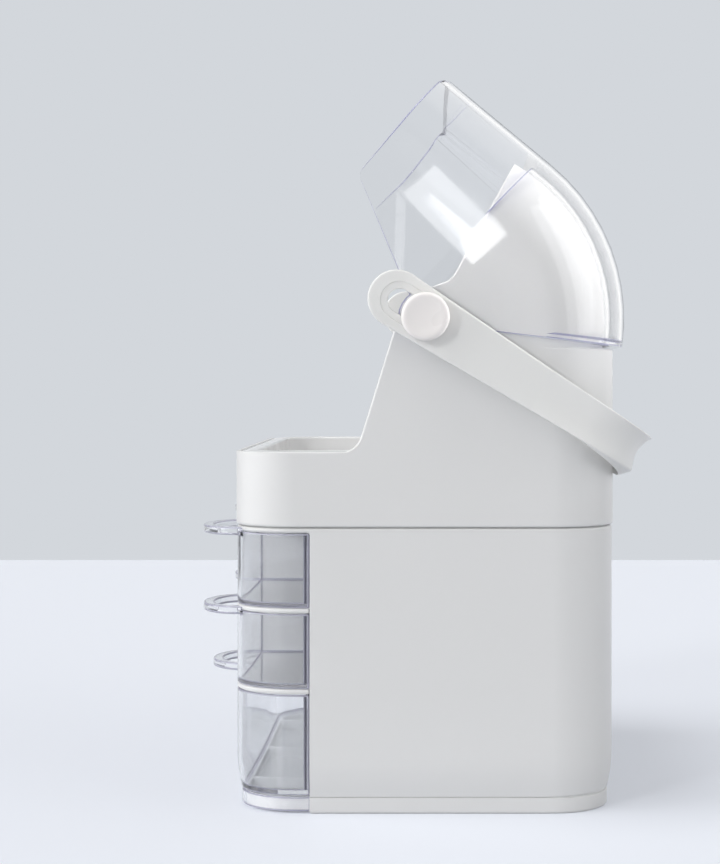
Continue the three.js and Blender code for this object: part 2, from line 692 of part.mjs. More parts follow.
function handleStations() {
  const cornerX = ARM_INNER_SIDE - GRIP_CORNER;
  const cornerReach = GRIP_REACH - GRIP_CORNER;
  const arm = [
    [-ARM_END, 0],
    [0, 0],
    [ARM_STEP, 0],
    [ARM_STEP + ARM_STEP_LENGTH, STEP_FORM_SHARE],
    [cornerReach, ARM_FORM_SHARE],
  ];
  const half = arm.map(([reach, form]) => ({ x: -ARM_INNER_SIDE, reach, turn: 0, form }));
  for (let step = 1; step <= CORNER_STEPS; step += 1) {
    const share = step / CORNER_STEPS;
    const turn = (share * Math.PI) / 2;
    half.push({
      x: -cornerX - GRIP_CORNER * Math.cos(turn),
      reach: cornerReach + GRIP_CORNER * Math.sin(turn),
      turn,
      form: THREE.MathUtils.lerp(ARM_FORM_SHARE, 1, share),
    });
  }
  const mirrored = half.map((station) => ({ ...station, x: -station.x, turn: Math.PI - station.turn }));
  return [...half, ...mirrored.reverse()];
}

// Width of the band at a reach from the pivot: the arms taper from the round end to the grip
function bandEdges(reach, form) {
  const { lerp, clamp } = THREE.MathUtils;
  const near = clamp((reach + ARM_END) / (ARM_STEP + ARM_END), 0, 1);
  const far = clamp((reach - ARM_STEP) / (GRIP_REACH - ARM_STEP), 0, 1);
  const top = lerp(lerp(ARM_END_RADIUS, ARM_STEP_TOP, near), GRIP_TOP, far);
  const lip = lerp(lerp(ARM_END_RADIUS, ARM_STEP_BOTTOM, near), GRIP_LIP_BOTTOM, far);
  const drop = Math.max(0, (form - ARM_FORM_SHARE) / (1 - ARM_FORM_SHARE));
  return { top, lip: -lip, bottom: -lerp(lip, GRIP_BOTTOM, drop) };
}

function bandSection({ x, reach, turn, form }) {
  const { top, lip, bottom } = bandEdges(reach, form);
  const thickness = THREE.MathUtils.lerp(ARM_THICKNESS, GRIP_THICKNESS, form);
  const points = [];
  const place = (out, v) => points.push(
    new THREE.Vector3(x - out * Math.cos(turn), reach + out * Math.sin(turn), v),
  );
  for (let step = 0; step <= SECTION_STEPS; step += 1) {
    const share = (2 * step) / SECTION_STEPS - 1;
    const height = THREE.MathUtils.lerp(lip, top, step / SECTION_STEPS);
    place(thickness + GRIP_LIP * form * share * share, height);
  }
  for (let step = SECTION_STEPS; step >= 0; step -= 1) {
    const share = Math.max(0, (2 * step) / SECTION_STEPS - 1);
    place(GRIP_BOW * form * share * share, THREE.MathUtils.lerp(bottom, top, step / SECTION_STEPS));
  }
  return points;
}

// A slot-shaped outline in the arm's own axes
function slotOutline(halfWidth) {
  return filleted([
    [halfWidth, -halfWidth, halfWidth],
    [halfWidth, halfWidth, halfWidth],
    [-SLOT_TRAVEL - halfWidth, halfWidth, halfWidth],
    [-SLOT_TRAVEL - halfWidth, -halfWidth, halfWidth],
  ]);
}

function handle() {
  let band = lofted(handleStations().map(bandSection));
  const arm = (points, low, high) => solid(extruded(points, low, high).applyMatrix4(SIDE_AXES));
  const track = SLOT_HALF_WIDTH + SLOT_TRACK;
  const end = filleted([
    [-ARM_END, -ARM_END_RADIUS],
    [-ARM_END, ARM_END_RADIUS],
    [-ARM_END - ARM_END_RADIUS, ARM_END_RADIUS, ARM_END_RADIUS],
    [-ARM_END - ARM_END_RADIUS, -ARM_END_RADIUS, ARM_END_RADIUS],
  ].reverse());
  for (const side of [-1, 1]) {
    const span = (near, far) => [side * near, side * far].sort((a, b) => a - b);
    const faces = span(ARM_INNER_SIDE, ARM_OUTER_SIDE);
    const through = span(HALF_WIDTH, KNOB_INNER_SIDE + CUT_OVERRUN);
    const recess = span(ARM_OUTER_SIDE - SLOT_TRACK_DEPTH, ARM_OUTER_SIDE + CUT_OVERRUN);
    band = band.add(arm(end, faces[0], faces[1]))
      .subtract(arm(slotOutline(SLOT_HALF_WIDTH), through[0], through[1]))
      .subtract(arm(slotOutline(track), recess[0], recess[1]));
  }
  return geometryOf(band).applyMatrix4(handleTurn);
}

// Pivot hardware, each piece on one side
function revolvedPiece(side, profile) {
  const placed = profile.map(([radius, x]) => [radius, side * x]);
  return revolved(side > 0 ? placed : placed.reverse(), ROUND_STEPS);
}

function handleBush(side) {
  const low = LID_OUTER_SIDE + GAP;
  const high = KNOB_INNER_SIDE - GAP;
  const outer = SLOT_HALF_WIDTH - GAP;
  return revolvedPiece(side, [
    [HOLE_RADIUS, low],
    [outer, low],
    [outer, high],
    [HOLE_RADIUS, high],
    [HOLE_RADIUS, low],
  ]);
}

function pivotKnob(side) {
  const face = KNOB_INNER_SIDE + KNOB_THICKNESS;
  const bore = SCREW_RADIUS + GAP;
  const boreEnd = STEM_SIDE + SCREW_LENGTH + GAP;
  return revolvedPiece(side, [
    [0, boreEnd],
    [bore, boreEnd],
    [bore, STEM_SIDE],
    [STEM_RADIUS, STEM_SIDE],
    [STEM_RADIUS, KNOB_INNER_SIDE],
    [KNOB_RADIUS - KNOB_EDGE, KNOB_INNER_SIDE],
    [KNOB_RADIUS, KNOB_INNER_SIDE + KNOB_EDGE],
    [KNOB_RADIUS, face - KNOB_EDGE],
    [KNOB_RADIUS - KNOB_EDGE / 2, face - KNOB_EDGE / 4],
    [KNOB_RADIUS - KNOB_EDGE, face],
    [KNOB_RADIUS - KNOB_RIM, face],
    [KNOB_RADIUS - 2 * KNOB_RIM, face - KNOB_DISH],
    [0, face - KNOB_DISH],
  ]);
}

function pivotWasher(side) {
  const high = STEM_SIDE;
  const low = high - WASHER_THICKNESS;
  const bore = SCREW_RADIUS + GAP;
  return revolvedPiece(side, [
    [bore, low],
    [WASHER_RADIUS, low],
    [WASHER_RADIUS, high],
    [bore, high],
    [bore, low],
  ]);
}

function pivotScrew(side) {
  const seat = STEM_SIDE - WASHER_THICKNESS;
  return revolvedPiece(side, [
    [0, seat - SCREW_HEAD],
    [SCREW_HEAD_RADIUS - SCREW_HEAD / 2, seat - SCREW_HEAD],
    [SCREW_HEAD_RADIUS, seat - SCREW_HEAD / 2],
    [SCREW_HEAD_RADIUS, seat],
    [SCREW_RADIUS, seat],
    [SCREW_RADIUS, STEM_SIDE + SCREW_LENGTH],
    [0, STEM_SIDE + SCREW_LENGTH],
  ]);
}

// Assembly
const organizer = new THREE.Group();

function add(name, body, look) {
  const geometry = body instanceof THREE.BufferGeometry ? body : geometryOf(body);
  const mesh = new THREE.Mesh(geometry, new THREE.MeshStandardMaterial(look));
  mesh.name = name;
  organizer.add(mesh);
}

const SIDES = [['left', -1], ['right', 1]];

add('base_plate', basePlate(), WHITE);
padPlaces().forEach(([x, y], index) => {
  add(`foot_pad_${index + 1}`, disc(PAD_RADIUS, x, y, 0, PAD_THICKNESS), RUBBER);
});
add('lower_housing', lowerHousing(), WHITE);
add('shelf_upper', shelf(SHELF_UPPER_TOP), WHITE);
add('shelf_lower', shelf(SHELF_LOWER_TOP), WHITE);
add('drawer_divider_upper', drawerDivider(SHELF_UPPER_TOP, TOP_PLATE_UNDERSIDE), WHITE);
add('drawer_divider_lower', drawerDivider(SHELF_LOWER_TOP, SHELF_UPPER_TOP - SHELF_THICKNESS), WHITE);
add('upper_housing', upperHousing(), WHITE);
add('tray_insert', trayInsert(), WHITE);
add('rear_divider', rearDivider(), WHITE);
add('middle_visor', middleVisor(), CLEAR);
add('front_lid', frontLid(), CLEAR);
add('handle', handle(), MILKY);

const ROWS = [
  ['top', SHELF_UPPER_TOP, TOP_PLATE_UNDERSIDE],
  ['middle', SHELF_LOWER_TOP, SHELF_UPPER_TOP - SHELF_THICKNESS],
];

for (const [row, floor, ceiling] of ROWS) {
  for (const [name, side] of SIDES) {
    const inner = DIVIDER_THICKNESS / 2 + DRAWER_GAP;
    const [x0, x1] = side > 0 ? [inner, WIDTH] : [-WIDTH, -inner];
    const body = drawer({
      low: floor + GAP,
      high: ceiling - DRAWER_HEADROOM,
      x0,
      x1,
      pullX: side * (HALF_WIDTH - PULL_INSET),
      pullReach: PULL_REACH,
    });
    add(`drawer_${row}_${name}`, body, CLEAR);
  }
}

add('drawer_bottom', drawer({
  low: LIP_TOP + GAP,
  high: SHELF_LOWER_TOP - SHELF_THICKNESS - DRAWER_HEADROOM,
  x0: -WIDTH,
  x1: WIDTH,
  pullX: 0,
  pullReach: WIDE_PULL_REACH,
  skirt: true,
}), CLEAR);

for (const [name, side] of SIDES) {
  add(`tray_divider_${name}`, trayDivider(side), WHITE);
  add(`handle_bush_${name}`, handleBush(side), MILKY);
  add(`pivot_knob_${name}`, pivotKnob(side), WHITE);
  add(`pivot_washer_${name}`, pivotWasher(side), STEEL);
  add(`pivot_screw_${name}`, pivotScrew(side), STEEL);
}

export default organizer;
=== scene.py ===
"""Looks of a countertop makeup organizer: a moulded white case with five clear drawers, an open
tray, a round hood under a clear visor and lid, and a milky handle on two round knobs.

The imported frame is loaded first. Each operator then makes one group of pieces in its place."""

import math

import bmesh
import bpy
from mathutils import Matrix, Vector
from mathutils.bvhtree import BVHTree


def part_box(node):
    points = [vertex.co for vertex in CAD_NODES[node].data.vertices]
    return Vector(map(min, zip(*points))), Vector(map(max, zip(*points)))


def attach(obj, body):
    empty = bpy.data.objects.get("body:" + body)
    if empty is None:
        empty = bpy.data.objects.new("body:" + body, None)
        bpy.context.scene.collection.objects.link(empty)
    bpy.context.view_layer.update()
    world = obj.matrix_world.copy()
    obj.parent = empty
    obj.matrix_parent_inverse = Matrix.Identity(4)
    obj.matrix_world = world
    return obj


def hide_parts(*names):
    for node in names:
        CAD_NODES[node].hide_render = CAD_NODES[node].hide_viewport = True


bl_info = {
    "name": "Makeup organizer",
    "version": (1, 0, 0),
    "blender": (4, 5, 0),
    "location": "3D View > Sidebar > Organizer",
    "description": "Models and finishes the pieces of a makeup organizer in place on its frame",
    "category": "Object",
}

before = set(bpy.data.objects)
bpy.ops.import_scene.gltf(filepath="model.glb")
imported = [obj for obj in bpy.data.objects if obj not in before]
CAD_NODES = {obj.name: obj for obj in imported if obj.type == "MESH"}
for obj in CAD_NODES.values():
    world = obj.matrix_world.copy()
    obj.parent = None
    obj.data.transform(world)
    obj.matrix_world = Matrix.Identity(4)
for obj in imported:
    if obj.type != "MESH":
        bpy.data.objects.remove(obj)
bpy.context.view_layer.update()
MM = 0.001

# Rounding of edges: the shares are of its width, but ROOM_SHARE is of the wall beside the edge
WELD = 0.01 * MM
DISSOLVE_ANGLE = math.radians(0.4)
SHARP_ANGLE = math.radians(32.0)
FOLD_ANGLE = math.radians(140.0)
FLAT_FACE = 0.99
EDGE_SEGMENTS = 3
ROOM_SHARE = 0.45
PROBE_SHARE = 0.25
STAND_OFF_SHARE = 0.5
THIN_SHARE = 0.5
BUSH_SHARE = 0.4
ATTEMPTS = 8

# Material slots of the clear pieces: their edges, darkened with painted shade, and the rims of the
# covers, made pale with painted light
NO_SLOT = -1
PAINTED_EDGE_SLOT = 1
PAINTED_RIM_SLOT = 2

# Where those edges and rims are: the last two are the z of a face's normal
WALL_END_DEPTH = 9.0 * MM
CHEEK_SHARE = 0.75
FLAT_TOP = 0.97
LOW_RIM = -0.6

# Clear plastics: share of a lamp's light that each skin passes, and refractive indices
SKIN_PASSES = 0.96
COVER_IOR = 1.49
DRAWER_IOR = 1.57

# Values of a noise at which a varied roughness comes to its own low and high
NOISE_LOW = 0.3
NOISE_HIGH = 0.7

# Knob: the rings of its hollow, each a share of its depth and a width, then its hole and edges
HOLLOW_RINGS = ((0.45, 0.0014), (0.35, 0.0022), (0.2, 0.003))
SCREW_HOLE_SHARE = 0.75
KNOB_SEGMENTS = 96
KNOB_RIM_SEGMENTS = 8
KNOB_SHARP_ANGLE = math.radians(50.0)
STEM_EDGE_SHARE = 0.15

# Stage: a ray whose diffuse depth is under FIRST_BOUNCE has not yet met a matt surface
FLOOR_REACH = 3.0
CAMERA_SHIFT = (-0.0984, -0.0671)
FIRST_BOUNCE = 0.5
WHITE = (1.0, 1.0, 1.0, 1.0)

DRAWERS = (
    "drawer_top_left",
    "drawer_top_right",
    "drawer_middle_left",
    "drawer_middle_right",
    "drawer_bottom",
)
SIDES = ("left", "right")


# Sizes, colours and stage settings that a user would change

def length(name, description, default):
    """A length in metres, shown in the scene's units."""
    return bpy.props.FloatProperty(
        name=name, description=description, default=default, min=0.0, unit="LENGTH", precision=4
    )


def colour(name, description, default):
    """A linear colour."""
    return bpy.props.FloatVectorProperty(
        name=name, description=description, default=default, size=3, min=0.0, max=1.0, subtype="COLOR"
    )


def share(name, description, default):
    """A number from 0 to 1."""
    return bpy.props.FloatProperty(
        name=name, description=description, default=default, min=0.0, max=1.0, subtype="FACTOR"
    )


def amount(name, description, default):
    """A strength, power or brightness from 0 up."""
    return bpy.props.FloatProperty(name=name, description=description, default=default, min=0.0)


class OrganizerSizes(bpy.types.PropertyGroup):
    """Roundings of the moulded edges"""

    case_edge: length("Case edge", "Rounding along the edges of the white case", 0.0016)
    tray_edge: length("Tray edge", "Rounding along the edges of the drop-in tray", 0.0014)
    drawer_edge: length("Drawer edge", "Rounding along the edges of the clear drawers", 0.0009)
    cover_edge: length("Cover edge", "Rounding along the edges of the lid and visor", 0.0008)
    handle_edge: length("Handle edge", "Rounding along the edges of the handle", 0.0011)
    knob_edge: length("Knob edge", "Rounding of the knob's outer rim", 0.0022)
    knob_dish: length("Knob dish", "Depth of the hollow in the knob's face", 0.0008)
    knob_rim: length("Knob rim", "Width of the rim round the hollow", 0.0034)
    knob_head: length("Knob head", "Thickness of the knob outside the handle's arm", 0.0088)
    stem_radius: length("Stem radius", "Radius of the stem on which the covers turn", 0.004)
    screw_room: length("Screw room", "Radius of the screw's hole up the stem", 0.0018)


class OrganizerColours(bpy.types.PropertyGroup):
    """Colours of the plastics, rubber and steel, with painted shade and painted light in the tints along
    the clear edges
    """

    case: colour("Case", "White plastic of the case", (0.785, 0.785, 0.78))
    tray: colour("Tray", "Glossy white plastic of the drop-in tray", (0.86, 0.86, 0.86))
    knob: colour("Knob", "White plastic of the knobs", (0.92, 0.885, 0.865))
    handle: colour("Handle", "Milky plastic of the handle", (0.83, 0.83, 0.815))
    cover: colour("Cover", "Tint of the lid and visor", (0.998, 0.998, 1.0))
    # Partly painted shade: the drawers' faint grey tint is made darker than the clear plastic's own, so
    # that the drawers and their edges look shaded
    drawer: colour("Drawer", "Tint of the drawers", (0.95, 0.955, 0.965))
    # Painted shade: the dark violet tint of the covers' edges stands in for the dark lines that
    # refraction gives real clear edges
    cover_edge: colour("Cover edge", "Tint of the lid and visor along their edges", (0.46, 0.46, 0.64))
    # Painted light: the pale tint of the rims across the covers makes them look lit instead of dark
    rim_painted_light: colour("Cover rim", "Pale tint of the rims across the lid and visor", (0.80, 0.81, 0.86))
    # Painted shade: the dark tint of the drawers' edges stands in for the dark lines that refraction
    # gives real clear edges
    drawer_edge: colour("Drawer edge", "Tint of the drawers along their edges", (0.50, 0.50, 0.60))
    rubber: colour("Rubber", "Foot pads", (0.30, 0.30, 0.31))
    steel: colour("Steel", "Screws and washers", (0.62, 0.62, 0.63))
    floor: colour("Floor", "Table top", (0.875, 0.906, 0.975))
    backdrop: colour("Backdrop", "Wall behind the table", (0.651, 0.679, 0.716))


class OrganizerStage(bpy.types.PropertyGroup):
    """Camera and lamps"""

    camera_distance: length("Camera distance", "Camera's distance from the middle plane", 1.215)
    camera_height: length("Camera height", "Camera's height over the table", 0.2387)
    camera_side: length("Camera side", "Camera's place along the depth of the case", 0.0114)
    lens: bpy.props.FloatProperty(
        name="Lens", description="Focal length", default=83.2, min=10.0, unit="CAMERA"
    )
    floor_end: length("Floor end", "Distance beyond the case at which the table ends", 1.348)
    key_strength: amount("Key strength", "Strength of the light that casts the knob's shadow", 0.7)
    front_strength: amount("Front strength", "Strength of the broad light on the drawers", 1.85)
    back_strength: amount("Back strength", "Strength of the broad light from behind", 0.75)
    top_strength: amount("Top strength", "Strength of the light overhead", 1.0)
    hood_power: amount("Hood power", "Power of the panel that lights the hood's shoulder", 0.095)
    window_power: amount("Window power", "Power of the narrow panel mirrored in the lid", 0.11)
    ambient: share("Ambient", "Strength of the even light from all round", 0.38)
    floor_light: share("Floor light", "Share of the floor's colour that shadows leave", 0.3)
    floor_shade: share("Floor shade", "Share of the floor's colour that the lamps light", 0.67)
    room: share("Room", "Brightness of the room on the drawers' side against the backdrop", 0.2)
    front_room: share("Front room", "Brightness of the room behind the camera against the backdrop", 0.5)
    ceiling: share("Ceiling", "Brightness of the room overhead against the backdrop", 0.85)
    softbox: amount("Softbox", "Brightness of the screen mirrored along the rounded covers", 1.1)


def settings():
    """The organizer's settings on the current scene."""
    return bpy.context.scene.organizer_sizes, bpy.context.scene.organizer_colours


# Selecting and shaping

def select_only(piece):
    """Deselects everything but this piece and makes it active."""
    bpy.ops.object.select_all(action="DESELECT")
    piece.select_set(True)
    bpy.context.view_layer.objects.active = piece


def piece_name(node):
    """Name of the finished piece that takes a CAD node's place."""
    return f"{node}_moulding"


def own_copy(node):
    """A welded copy of a CAD node's solid, to be finished as a piece of its own."""
    piece = bpy.data.objects.new(piece_name(node), CAD_NODES[node].data.copy())
    bpy.context.scene.collection.objects.link(piece)
    piece.data.name = piece.name
    select_only(piece)
    bpy.ops.mesh.customdata_custom_splitnormals_clear()
    bpy.ops.object.mode_set(mode="EDIT")
    bpy.ops.mesh.select_all(action="SELECT")
    bpy.ops.mesh.remove_doubles(threshold=WELD)
    bpy.ops.mesh.dissolve_limited(angle_limit=DISSOLVE_ANGLE)
    bpy.ops.object.mode_set(mode="OBJECT")
    return piece


def edge_room(edge, walls, depth):
    """How far the wall runs on beside an edge, along the nearer of its two faces."""
    middle = (edge.verts[0].co + edge.verts[1].co) / 2
    along = (edge.verts[1].co - edge.verts[0].co).normalized()
    into_solid = -depth if edge.is_convex else depth
    rooms = []
    for face in edge.link_faces:
        inward = along.cross(face.normal)
        if inward.dot(face.calc_center_median() - middle) < 0.0:
            inward = -inward
        start = middle + into_solid * face.normal + depth * inward
        distance = walls.ray_cast(start, inward)[3]
        rooms.append(math.inf if distance is None else distance + depth)
    return min(rooms)


def mark_wall_ends(mesh, walls, slot):
    """Gives a slot to the faces at the ends of thin walls, behind which the plastic runs deep."""
    widest = {}
    for corners in mesh.calc_loop_triangles():
        one, two, three = (corner.vert.co for corner in corners)
        area = (two - one).cross(three - one).length
        face = corners[0].face
        if area > widest.get(face, (0.0, None))[0]:
            widest[face] = (area, (one + two + three) / 3)
    for face, (area, middle) in widest.items():
        depth = walls.ray_cast(middle - WELD * face.normal, -face.normal)[3]
        if depth is None or depth > WALL_END_DEPTH:
            face.material_index = slot


def shortest_beside(edge):
    """Length of the shortest edge that meets this one in its two faces, or its own."""
    ends = set(edge.verts)
    beside = [other for face in edge.link_faces for other in face.edges if ends & set(other.verts)]
    return min(other.calc_length() for other in beside)


def bevel(piece, width, segments, edge_slot):
    """Bevels the edges by their weights."""
    modifier = piece.modifiers.new("Edge rounding", "BEVEL")
    modifier.width = width
    modifier.segments = segments
    modifier.limit_method = "WEIGHT"
    modifier.use_clamp_overlap = False
    modifier.miter_outer = "MITER_ARC"
    modifier.material = edge_slot
    select_only(piece)
    bpy.ops.object.modifier_apply(modifier=modifier.name)


def corners_of(mesh):
    """Lowest and highest corner of a mesh."""
    places = [vert.co for vert in mesh.vertices]
    return [Vector(pick(place[axis] for place in places) for axis in range(3)) for pick in (min, max)]


def outside(place, low, high):
    """Whether a place stands out of a box."""
    return any(not low[axis] - WELD < place[axis] < high[axis] + WELD for axis in range(3))


def faults(piece, walls, box, width):
    """Places at which a rounded skin turns back on itself or leaves the skin or the box it had."""
    mesh = bmesh.new()
    mesh.from_mesh(piece.data)
    folds = [edge for edge in mesh.edges if edge.is_manifold and edge.calc_face_angle(0.0) > FOLD_ANGLE]
    places = [walls.find_nearest((edge.verts[0].co + edge.verts[1].co) / 2)[0] for edge in folds]
    for vert in mesh.verts:
        found, _normal, _face, distance = walls.find_nearest(vert.co)
        if distance > STAND_OFF_SHARE * width or outside(vert.co, *box):
            places.append(found)
    mesh.free()
    return places


def distance_to(edge, place):
    """Distance of a place from an edge."""
    start, end = (vert.co for vert in edge.verts)
    along = end - start
    share_along = (place - start).dot(along) / along.length_squared
    return (start + min(1.0, max(0.0, share_along)) * along - place).length


def round_edges(piece, width, edge_slot=NO_SLOT):
    """Rounds every sharp edge, and less where the wall beside it is thin or short."""
    while len(piece.data.materials) <= edge_slot:
        piece.data.materials.append(None)
    mesh = bmesh.new()
    mesh.from_mesh(piece.data)
    mesh.normal_update()
    walls = BVHTree.FromBMesh(mesh)
    # On the clear pieces this slot holds the edge material, whose dark tint is painted shade
    if edge_slot != NO_SLOT:
        mark_wall_ends(mesh, walls, edge_slot)
    weight = mesh.edges.layers.float.new("bevel_weight_edge")
    sharp = [edge for edge in mesh.edges if edge.is_manifold and edge.calc_face_angle() > SHARP_ANGLE]
    for edge in sharp:
        room = min(edge_room(edge, walls, PROBE_SHARE * width), shortest_beside(edge))
        edge[weight] = min(1.0, ROOM_SHARE * room / width)
    flat = piece.data.copy()
    box = corners_of(flat)
    for attempt in range(ATTEMPTS):
        mesh.to_mesh(piece.data)
        bevel(piece, width, EDGE_SEGMENTS, edge_slot)
        places = faults(piece, walls, box, width)
        if not places or attempt == ATTEMPTS - 1:
            break
        for edge in sharp:
            if any(distance_to(edge, place) < width for place in places):
                edge[weight] = edge[weight] / 2 if attempt < ATTEMPTS / 2 else 0.0
        piece.data = flat.copy()
    mesh.free()


def smooth_shading(piece, angle):
    """Smooth shading up to an angle, in which broad flat faces stay flat beside their roundings."""
    select_only(piece)
    bpy.ops.object.shade_smooth_by_angle(angle=angle)
    weighted = piece.modifiers.new("Flat faces", "WEIGHTED_NORMAL")
    weighted.keep_sharp = True
    bpy.ops.object.modifier_apply(modifier=weighted.name)


def settle(piece, body, nodes, materials, smooth=SHARP_ANGLE):
    """Smooths a finished piece, gives it its materials and sets it on its body in place of the nodes."""
    smooth_shading(piece, smooth)
    slots = [face.material_index for face in piece.data.polygons]
    piece.data.materials.clear()
    for material in materials:
        piece.data.materials.append(material)
    piece.data.polygons.foreach_set("material_index", slots)
    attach(piece, body)
    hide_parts(*nodes)


def select_faces_at(height):
    """Selects the faces that lie flat at a height, in edit mode."""
    mesh = bmesh.from_edit_mesh(bpy.context.object.data)
    for face in mesh.faces:
        face.select_set(False)
    for face in mesh.faces:
        flat = abs(face.normal.z) > FLAT_FACE
        face.select_set(flat and abs(face.calc_center_median().z - height) < WELD)
    bmesh.update_edit_mesh(bpy.context.object.data)


def apply_place(piece):
    """Puts a piece's place, turn and scale into its mesh."""
    select_only(piece)
    bpy.ops.object.transform_apply(location=True, rotation=True, scale=True)


# Materials

class Finish:
    """A node tree under one Principled shader, read in object coordinates."""

    def __init__(self, name, base, roughness):
        self.material = bpy.data.materials.new(name)
        self.material.use_nodes = True
        self.tree = self.material.node_tree
        self.shader = self.tree.nodes["Principled BSDF"]
        self.place = self.tree.nodes.new("ShaderNodeTexCoord")
        self.set("Base Color", (*base, 1.0))
        self.set("Roughness", roughness)

    def set(self, socket, value):
        """Sets a value on the shader's own socket."""
        self.shader.inputs[socket].default_value = value

    def link(self, output, node, socket):
        """Joins an output to a node's input, named or numbered."""
        self.tree.links.new(output, node.inputs[socket])

    def noise(self, scale, detail=2.0):
        """Noise in object coordinates, in patches of about one over the scale."""
        noise = self.tree.nodes.new("ShaderNodeTexNoise")
        noise.inputs["Scale"].default_value = scale
        noise.inputs["Detail"].default_value = detail
        self.link(self.place.outputs["Object"], noise, "Vector")
        return noise.outputs["Fac"]

    def vary_colour(self, one, other, scale):
        """Base colour that drifts between two close tones."""
        mix = self.tree.nodes.new("ShaderNodeMix")
        mix.data_type = "RGBA"
        self.link(self.noise(scale), mix, "Factor")
        mix.inputs["A"].default_value = (*one, 1.0)
        mix.inputs["B"].default_value = (*other, 1.0)
        self.link(mix.outputs["Result"], self.shader, "Base Color")

    def vary_roughness(self, low, high, scale):
        """Roughness that drifts between two values."""
        ramp = self.tree.nodes.new("ShaderNodeMapRange")
        ramp.inputs["From Min"].default_value = NOISE_LOW
        ramp.inputs["From Max"].default_value = NOISE_HIGH
        ramp.inputs["To Min"].default_value = low
        ramp.inputs["To Max"].default_value = high
        self.link(self.noise(scale), ramp, "Value")
        self.link(ramp.outputs["Result"], self.shader, "Roughness")

    def grain(self, scale, depth, strength):
        """Fine relief left by the mould."""
        bump = self.tree.nodes.new("ShaderNodeBump")
        bump.inputs["Distance"].default_value = depth
        bump.inputs["Strength"].default_value = strength
        self.link(self.noise(scale, detail=3.0), bump, "Height")
        self.link(bump.outputs["Normal"], self.shader, "Normal")

    def let_lamps_through(self, tint):
        """Clear plastic that bends what is seen through it and lets lamp light pass."""
        path = self.tree.nodes.new("ShaderNodeLightPath")
        open_shader = self.tree.nodes.new("ShaderNodeBsdfTransparent")
        open_shader.inputs["Color"].default_value = (*tinted(tint, SKIN_PASSES), 1.0)
        mix = self.tree.nodes.new("ShaderNodeMixShader")
        output = self.tree.nodes["Material Output"]
        self.link(path.outputs["Is Shadow Ray"], mix, "Fac")
        self.tree.links.new(self.shader.outputs["BSDF"], mix.inputs[1])
        self.tree.links.new(open_shader.outputs["BSDF"], mix.inputs[2])
        self.link(mix.outputs["Shader"], output, "Surface")


def ray_share(tree, *kinds):
    """1 on rays of these kinds and 0 on all others."""
    path = tree.nodes.new("ShaderNodeLightPath")
    share_so_far = path.outputs[kinds[0]]
    for kind in kinds[1:]:
        either = tree.nodes.new("ShaderNodeMath")
        either.operation = "MAXIMUM"
        tree.links.new(share_so_far, either.inputs[0])
        tree.links.new(path.outputs[kind], either.inputs[1])
        share_so_far = either.outputs["Value"]
    return share_so_far


def fade(tree, value, start, end):
    """A soft step from 0 to 1 as a value goes from start to end."""
    ramp = tree.nodes.new("ShaderNodeMapRange")
    ramp.interpolation_type = "SMOOTHSTEP"
    ramp.inputs["From Min"].default_value = start
    ramp.inputs["From Max"].default_value = end
    tree.links.new(value, ramp.inputs["Value"])
    return ramp.outputs["Result"]


def blend_colours(tree, factor, one, other):
    """A mix of two colours, each a value or another node's output."""
    mix = tree.nodes.new("ShaderNodeMix")
    mix.data_type = "RGBA"
    tree.links.new(factor, mix.inputs["Factor"])
    for socket, tone in (("A", one), ("B", other)):
        if isinstance(tone, bpy.types.NodeSocket):
            tree.links.new(tone, mix.inputs[socket])
        else:
            mix.inputs[socket].default_value = (*tone, 1.0)
    return mix.outputs["Result"]


def tinted(tone, factor):
    """A tone made lighter or darker."""
    return tuple(min(1.0, channel * factor) for channel in tone)


def white_plastic(name, tone, roughness):
    """Satin moulded plastic with a faint mottle and mould grain."""
    finish = Finish(name, tone, roughness)
    finish.vary_colour(tinted(tone, 0.985), tinted(tone, 1.01), scale=9.0)
    finish.vary_roughness(low=roughness - 0.04, high=roughness + 0.04, scale=35.0)
    finish.grain(scale=2600.0, depth=0.03 * MM, strength=0.25)
    return finish.material


def clear_plastic(name, tone, roughness, ior):
    """Clear polished plastic with faint ripples left by the mould."""
    finish = Finish(name, tone, roughness)
    finish.vary_roughness(low=0.5 * roughness, high=1.5 * roughness, scale=20.0)
    finish.grain(scale=45.0, depth=0.03 * MM, strength=0.1)
    finish.set("Transmission Weight", 1.0)
    finish.set("IOR", ior)
    finish.let_lamps_through(tone)
    return finish.material


def clear_edge_painted_light(name, tone, ior):
    """The same plastic along its roundings, where the light that it carries comes out, with painted light
    in its colour: a dark tint paints shade along the edges and a pale tint paints lit rims.
    """
    finish = Finish(name, tone, roughness=0.12)
    finish.vary_roughness(low=0.08, high=0.2, scale=60.0)
    finish.set("Transmission Weight", 0.3)
    finish.set("IOR", ior)
    finish.let_lamps_through(tone)
    return finish.material


def milky_plastic(name, tone):
    """Soft translucent plastic with a satin skin."""
    finish = Finish(name, tone, roughness=0.42)
    finish.vary_colour(tinted(tone, 0.98), tinted(tone, 1.01), scale=12.0)
    finish.vary_roughness(low=0.38, high=0.48, scale=40.0)
    finish.grain(scale=1800.0, depth=0.03 * MM, strength=0.3)
    finish.set("Subsurface Weight", 0.25)
    finish.set("Subsurface Radius", (0.004, 0.004, 0.004))
    finish.set("Subsurface Scale", 0.6)
    return finish.material


def rubber(name, tone):
    """Matt grey rubber."""
    finish = Finish(name, tone, roughness=0.85)
    finish.vary_colour(tinted(tone, 0.9), tinted(tone, 1.1), scale=120.0)
    finish.grain(scale=900.0, depth=0.1 * MM, strength=0.5)
    return finish.material


def steel(name, tone):
    """Plain plated steel with turning marks."""
    finish = Finish(name, tone, roughness=0.3)
    finish.set("Metallic", 1.0)
    finish.vary_roughness(low=0.24, high=0.4, scale=400.0)
    finish.grain(scale=700.0, depth=0.02 * MM, strength=0.3)
    return finish.material


# Operators, one for each group of like pieces

